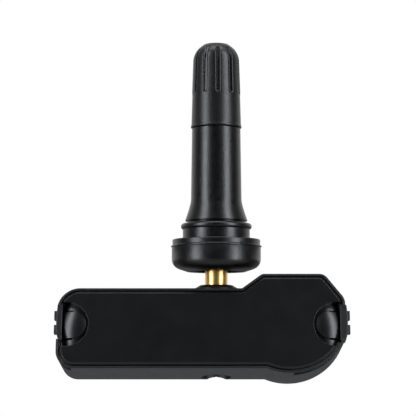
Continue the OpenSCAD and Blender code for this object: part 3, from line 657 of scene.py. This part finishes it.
@dataclass
class Cap:
    """Screw cap with pressed-in finger grooves, a lip at its mouth and a flat-topped dome.

    Lengths are in millimetres and angles in degrees.
    """

    grooves: int = 11
    columns: int = 44
    turn: float = -85.5
    mouth_z: float = 25.2
    top_z: float = 44.3
    lip_r: float = 5.75
    lip_h: float = 0.4
    skirt_r: float = 5.6
    waist_r: float = 5.425
    waist_z: float = 32.4
    rib_r: float = 5.475
    rib_z: float = 33.3
    dome_r: float = 5.25
    dome_z: float = 40.3
    dome_full: float = 4.696
    dome_steps: int = 24
    flat_r: float = 2.75
    flat_edge: float = 0.22
    bore_r: float = 3.97
    mouth_r: float = 4.45
    bore_z: float = 31.0
    ceiling_z: float = 41.1
    groove_half: float = 0.72
    groove_round: float = 0.4
    groove_wall: float = 65.0
    groove_depth: float = 0.52
    groove_foot: float = 33.2
    over_dome: float = 12.0
    row_step: float = 0.6
    foot_step: float = 0.08
    least_depth: float = 0.004
    near: float = 0.02
    sharp_edge: float = 36.0

    def outer_r(self, z: float) -> float:
        """Radius of the cap's outside above its waist.

        Args:
            z: Height in millimetres.

        Returns:
            The radius in millimetres.
        """
        if z <= self.rib_z:
            share = (z - self.waist_z) / (self.rib_z - self.waist_z)
            return self.waist_r + (self.rib_r - self.waist_r) * max(0.0, share)
        if z <= self.dome_z:
            share = (z - self.rib_z) / (self.dome_z - self.rib_z)
            return self.rib_r + (self.dome_r - self.rib_r) * share
        share = (z - self.dome_z) / self.dome_full
        return self.dome_r * math.sqrt(max(0.0, 1.0 - share * share))

    def floor_r(self, z: float) -> float:
        """Radius of a groove's floor at a height.

        Args:
            z: Height in millimetres.

        Returns:
            The radius in millimetres.
        """
        if z <= self.dome_z:
            return self.outer_r(z) - self.groove_depth
        return self.dome_r - self.groove_depth - (z - self.dome_z) * math.tan(math.radians(self.over_dome))

    def outline(self) -> list[Point]:
        """Draw the cap with its dome, ribs, lip and bore.

        Returns:
            Its half section, from the middle of its top down and round to its ceiling.
        """
        last = math.acos((self.flat_r + self.flat_edge) / self.dome_r)
        turns = [last * (1 - i / self.dome_steps) for i in range(self.dome_steps + 1)]
        dome = [(self.dome_r * math.cos(t), self.dome_z + self.dome_full * math.sin(t)) for t in turns]
        edge_z = dome[0][1]
        top = [
            (0.0, self.top_z),
            (self.flat_r - 0.2, self.top_z),
            (self.flat_r, self.top_z - 0.02),
            (self.flat_r + 0.12, (self.top_z + edge_z) / 2 + 0.03),
        ]
        rows = [*self._rows(self.dome_z - 0.5, self.groove_foot + 0.5, self.row_step)]
        rows += self._rows(self.groove_foot + 0.4, self.waist_z, self.foot_step)
        ribs = [(self.outer_r(z), z) for z in rows]
        lip_top = self.mouth_z + self.lip_h
        lip = [
            (self.skirt_r + 0.005, lip_top + 0.42),
            (self.skirt_r + 0.03, lip_top + 0.25),
            (self.skirt_r + 0.09, lip_top + 0.1),
            (self.lip_r - 0.01, lip_top - 0.05),
            (self.lip_r, lip_top - 0.16),
            (self.lip_r - 0.02, self.mouth_z + 0.1),
            (self.lip_r - 0.12, self.mouth_z),
        ]
        inside = [
            (self.mouth_r + 0.15, self.mouth_z),
            (self.mouth_r, self.mouth_z + 0.15),
            (self.mouth_r, self.bore_z),
            (self.bore_r, self.bore_z + 0.5),
            (self.bore_r, self.ceiling_z - 0.1),
            (self.bore_r - 0.1, self.ceiling_z),
        ]
        return top + dome + ribs + lip + inside + [(0.0, self.ceiling_z)]

    @staticmethod
    def _rows(start: float, end: float, step: float) -> Iterable[float]:
        """Heights from start down to end.

        Args:
            start: First height in millimetres.
            end: Last height in millimetres.
            step: Distance of the rows in millimetres.

        Yields:
            Each height.
        """
        count = max(1, round((start - end) / step))
        for i in range(count + 1):
            yield start + (end - start) * i / count

    def depth(self, z: float, column: int) -> float:
        """Depth of a groove in one of its columns.

        Args:
            z: Height in millimetres.
            column: Columns between this one and the groove's middle.

        Returns:
            The depth in millimetres, 0 outside the groove.
        """
        radius = self.outer_r(z)
        aside = math.radians(360.0 / (self.grooves * self.columns)) * column * radius
        away = math.hypot(aside, max(0.0, self.groove_foot - z))
        inward = max(0.0, self.groove_half - away)
        slope = math.radians(self.groove_wall)
        knee = self.groove_round * math.sin(slope)
        if inward < knee:
            fall = self.groove_round - math.sqrt(self.groove_round**2 - inward**2)
        else:
            fall = self.groove_round * (1.0 - math.cos(slope)) + (inward - knee) * math.tan(slope)
        return max(0.0, min(radius - self.floor_r(z), fall))

    def press_grooves(self, piece: bpy.types.Object) -> None:
        """Press the finger grooves in, ring by ring and column by column, towards the axis.

        Args:
            piece: The spun cap.
        """
        Bench.take(piece)
        bpy.ops.object.mode_set(mode="EDIT")
        for (z, column), wanted in self._columns(piece).items():
            deep = self.depth(z, column)
            if deep < self.least_depth:
                continue
            Bench.choose(piece, wanted)
            factor = 1.0 - deep / self.outer_r(z)
            bpy.ops.transform.resize(value=(factor, factor, 1.0), center_override=(0.0, 0.0, z * MM))
        bpy.ops.object.mode_set(mode="OBJECT")

    def _columns(self, piece: bpy.types.Object) -> dict[tuple[float, int], list[int]]:
        """Sort the outer vertices above the waist by ring and by column of their groove.

        Args:
            piece: The spun cap.

        Returns:
            Numbers of the vertices for each height and column.
        """
        sector = math.tau / self.grooves
        found: dict[tuple[float, int], list[int]] = {}
        for vertex in bmesh.from_edit_mesh(piece.data).verts:
            z = round(vertex.co.z / MM, 3)
            if not self.waist_z < z < self.top_z - 0.1:
                continue
            if math.hypot(vertex.co.x, vertex.co.y) / MM < self.outer_r(z) - self.near:
                continue
            turn = (math.atan2(vertex.co.y, vertex.co.x) - math.radians(self.turn)) % sector
            column = round(min(turn, sector - turn) / sector * self.columns)
            found.setdefault((z, column), []).append(vertex.index)
        return found

    def build(self, wardrobe: Wardrobe) -> None:
        """Model the cap and put it in place of its node.

        Args:
            wardrobe: The materials.
        """
        piece = Bench.lathe("cap_shell", self.outline(), self.grooves * self.columns, self.turn)
        self.press_grooves(piece)
        Bench.smooth(piece, self.sharp_edge)
        finish_piece(piece, wardrobe, Slot.CAP, "cap", "valve_cap")


@dataclass
class StemThread:
    """Rolled cap thread of the brass stem: a slimmer core and a ridge wound around it.

    Lengths are in millimetres and angles in degrees.
    """

    cad_r: float = 3.85
    near: float = 0.02
    root_r: float = 3.62
    crest_r: float = 3.84
    foot_z: float = 31.7
    pitch: float = 0.794
    turns: int = 10
    steps: int = 48
    sunk: float = 0.04
    foot_half: float = 0.35
    crest_half: float = 0.06
    sharp_edge: float = 30.0

    def core(self, wardrobe: Wardrobe) -> None:
        """Copy the stem and slim the copy down to the thread's root.

        Args:
            wardrobe: The materials.
        """
        node = frame["nodes"]["valve_stem"]
        piece = bpy.data.objects.new("stem_core", node.data.copy())
        piece.matrix_world = node.matrix_world
        bpy.context.scene.collection.objects.link(piece)
        Bench.take(piece)
        Bench.settle()
        # The CAD's own normals don't fit the mesh once it is merged and slimmed
        if piece.data.has_custom_normals:
            bpy.ops.mesh.customdata_custom_splitnormals_clear()
        bpy.ops.object.mode_set(mode="EDIT")
        Bench.weld()
        Bench.face_out()
        verts = bmesh.from_edit_mesh(piece.data).verts
        wanted = [v.index for v in verts if abs(math.hypot(v.co.x, v.co.y) / MM - self.cad_r) < self.near]
        Bench.choose(piece, wanted)
        factor = self.root_r / self.cad_r
        bpy.ops.transform.resize(value=(factor, factor, 1.0), center_override=(0.0, 0.0, 0.0))
        bpy.ops.object.mode_set(mode="OBJECT")
        Bench.smooth(piece, self.sharp_edge)
        finish_piece(piece, wardrobe, Slot.BRASS, "sensor", "valve_stem")

    def ridge(self, wardrobe: Wardrobe) -> None:
        """Wind the thread's ridge up the core.

        Args:
            wardrobe: The materials.
        """
        root = self.root_r - self.sunk
        outline = [
            (root, self.foot_z - self.foot_half),
            (self.crest_r, self.foot_z - self.crest_half),
            (self.crest_r, self.foot_z + self.crest_half),
            (root, self.foot_z + self.foot_half),
        ]
        piece = Bench.chain("stem_thread", [*outline, outline[0]])
        Bench.weld()
        bpy.ops.object.mode_set(mode="OBJECT")
        Bench.settle()
        wind = piece.modifiers.new("wind", "SCREW")
        wind.axis = "Z"
        wind.screw_offset = self.pitch * MM
        wind.iterations = self.turns
        wind.steps = wind.render_steps = self.steps
        Bench.apply(piece)
        bpy.ops.object.mode_set(mode="EDIT")
        bpy.ops.mesh.select_all(action="SELECT")
        bpy.ops.mesh.fill_holes(sides=4)
        Bench.face_out()
        bpy.ops.object.mode_set(mode="OBJECT")
        Bench.smooth(piece, self.sharp_edge)
        finish_piece(piece, wardrobe, Slot.BRASS, "sensor")

    def build(self, wardrobe: Wardrobe) -> None:
        """Model the threaded stem and dress it from the wardrobe."""
        self.core(wardrobe)
        self.ridge(wardrobe)


@dataclass
class Studio:
    """Camera, lamps, floor and world. Lengths are in metres and angles in degrees."""

    eye: tuple[float, float, float] = (-0.001861, -0.304, -0.02168)
    look_up: float = 5.4
    focal_px: float = 1356.0
    image_px: float = 416.0
    sensor_mm: float = 36.0
    clip: Point = (0.01, 50.0)
    floor_z: float = -0.2
    floor_span: float = 4.0
    left_turn: float = -53.5
    right_turn: float = 51.0
    side_rise: float = 12.0
    side_reach: float = 0.5
    side_size: Point = (0.19, 0.9)
    side_power: float = 4.35
    top_rise: float = 84.0
    top_reach: float = 0.6
    top_size: Point = (0.5, 0.2)
    top_power: float = 1.7
    lamp_tint: Colour = (0.92, 0.95, 1.0)
    floor_tone: float = 0.36
    floor_rough: float = 0.8
    front_glow: float = 0.02
    back_glow: float = 0.95
    glow_depth: float = 0.8

    def camera(self) -> None:
        """Add the camera at the photograph's place."""
        data = bpy.data.cameras.new("camera")
        data.sensor_width = self.sensor_mm
        data.lens = self.sensor_mm * self.focal_px / self.image_px
        data.clip_start, data.clip_end = self.clip
        eye = bpy.data.objects.new("camera", data)
        eye.location = self.eye
        eye.rotation_euler = (math.radians(90.0 + self.look_up), 0.0, 0.0)
        bpy.context.scene.collection.objects.link(eye)
        bpy.context.scene.camera = eye

    def lamp(self, name: str, turn: float, rise: float, reach: float, size: Point, power: float) -> None:
        """Add a soft box that faces the object.

        Args:
            name: Name of the lamp.
            turn: Degrees from the camera's side, positive to the right.
            rise: Degrees above the object.
            reach: Distance from the object in metres.
            size: Width and height in metres.
            power: Power in watts.
        """
        data = bpy.data.lights.new(name, "AREA")
        data.shape = "RECTANGLE"
        data.size, data.size_y = size
        data.energy = power
        data.color = self.lamp_tint
        lamp = bpy.data.objects.new(name, data)
        side, up = math.radians(turn), math.radians(rise)
        away = Vector((math.sin(side) * math.cos(up), -math.cos(side) * math.cos(up), math.sin(up)))
        lamp.location = away * reach
        lamp.rotation_mode = "QUATERNION"
        lamp.rotation_quaternion = away.to_track_quat("Z", "Y")
        lamp.visible_camera = False
        bpy.context.scene.collection.objects.link(lamp)

    def lamps(self) -> None:
        """Add a strip at each side and a top light."""
        for name, turn in (("strip_left", self.left_turn), ("strip_right", self.right_turn)):
            self.lamp(name, turn, self.side_rise, self.side_reach, self.side_size, self.side_power)
        self.lamp("top_light", 0.0, self.top_rise, self.top_reach, self.top_size, self.top_power)

    def floor(self) -> None:
        """Add the pale floor."""
        Bench.clear()
        bpy.ops.mesh.primitive_plane_add(size=self.floor_span, location=(0.0, 0.0, self.floor_z))
        plane = Bench.name("floor")
        made = bpy.data.materials.new("floor_pale")
        made.use_nodes = True
        graph = Graph(made)
        tone = self.floor_tone
        graph.shader.inputs["Base Color"].default_value = (tone, tone, tone, 1.0)
        graph.shader.inputs["Roughness"].default_value = self.floor_rough
        plane.data.materials.append(made)

    def world(self) -> None:
        """Add the world: white for the camera, and for the object a room, pale behind and dark in front."""
        world = bpy.data.worlds.new("world")
        bpy.context.scene.world = world
        world.use_nodes = True
        tree = Tree(world.node_tree)
        output = tree.add("ShaderNodeOutputWorld")
        pick = tree.add("ShaderNodeMixShader")
        room = tree.add("ShaderNodeBackground")
        white = tree.add("ShaderNodeBackground")
        for glow in (room, white):
            glow.inputs["Color"].default_value = (1.0, 1.0, 1.0, 1.0)
        where = tree.add("ShaderNodeTexCoord")
        axes = tree.add("ShaderNodeSeparateXYZ")
        depth = tree.add("ShaderNodeMapRange", interpolation_type="SMOOTHSTEP")
        depth.inputs["From Min"].default_value = 0.0
        depth.inputs["From Max"].default_value = self.glow_depth
        depth.inputs["To Min"].default_value = self.front_glow
        depth.inputs["To Max"].default_value = self.back_glow
        path = tree.add("ShaderNodeLightPath")
        tree.link(where, "Generated", axes, 0)
        tree.link(axes, "Y", depth, "Value")
        tree.link(depth, 0, room, "Strength")
        tree.link(path, "Is Camera Ray", pick, 0)
        tree.link(room, 0, pick, 1)
        tree.link(white, 0, pick, 2)
        tree.link(pick, 0, output, 0)

    def build(self) -> None:
        """Set up the whole studio."""
        self.camera()
        self.lamps()
        self.floor()
        self.world()
        bpy.context.scene.view_settings.view_transform = "Standard"


def main() -> None:
    """Build every sub-assembly in order."""
    logging.basicConfig(level=logging.INFO, format="%(message)s")
    wardrobe = Wardrobe(FINISHES)
    wardrobe.dress_frame()
    StemThread().build(wardrobe)
    RubberStem().build(wardrobe)
    Cap().build(wardrobe)
    Studio().build()


if __name__ == "__main__":
    main()
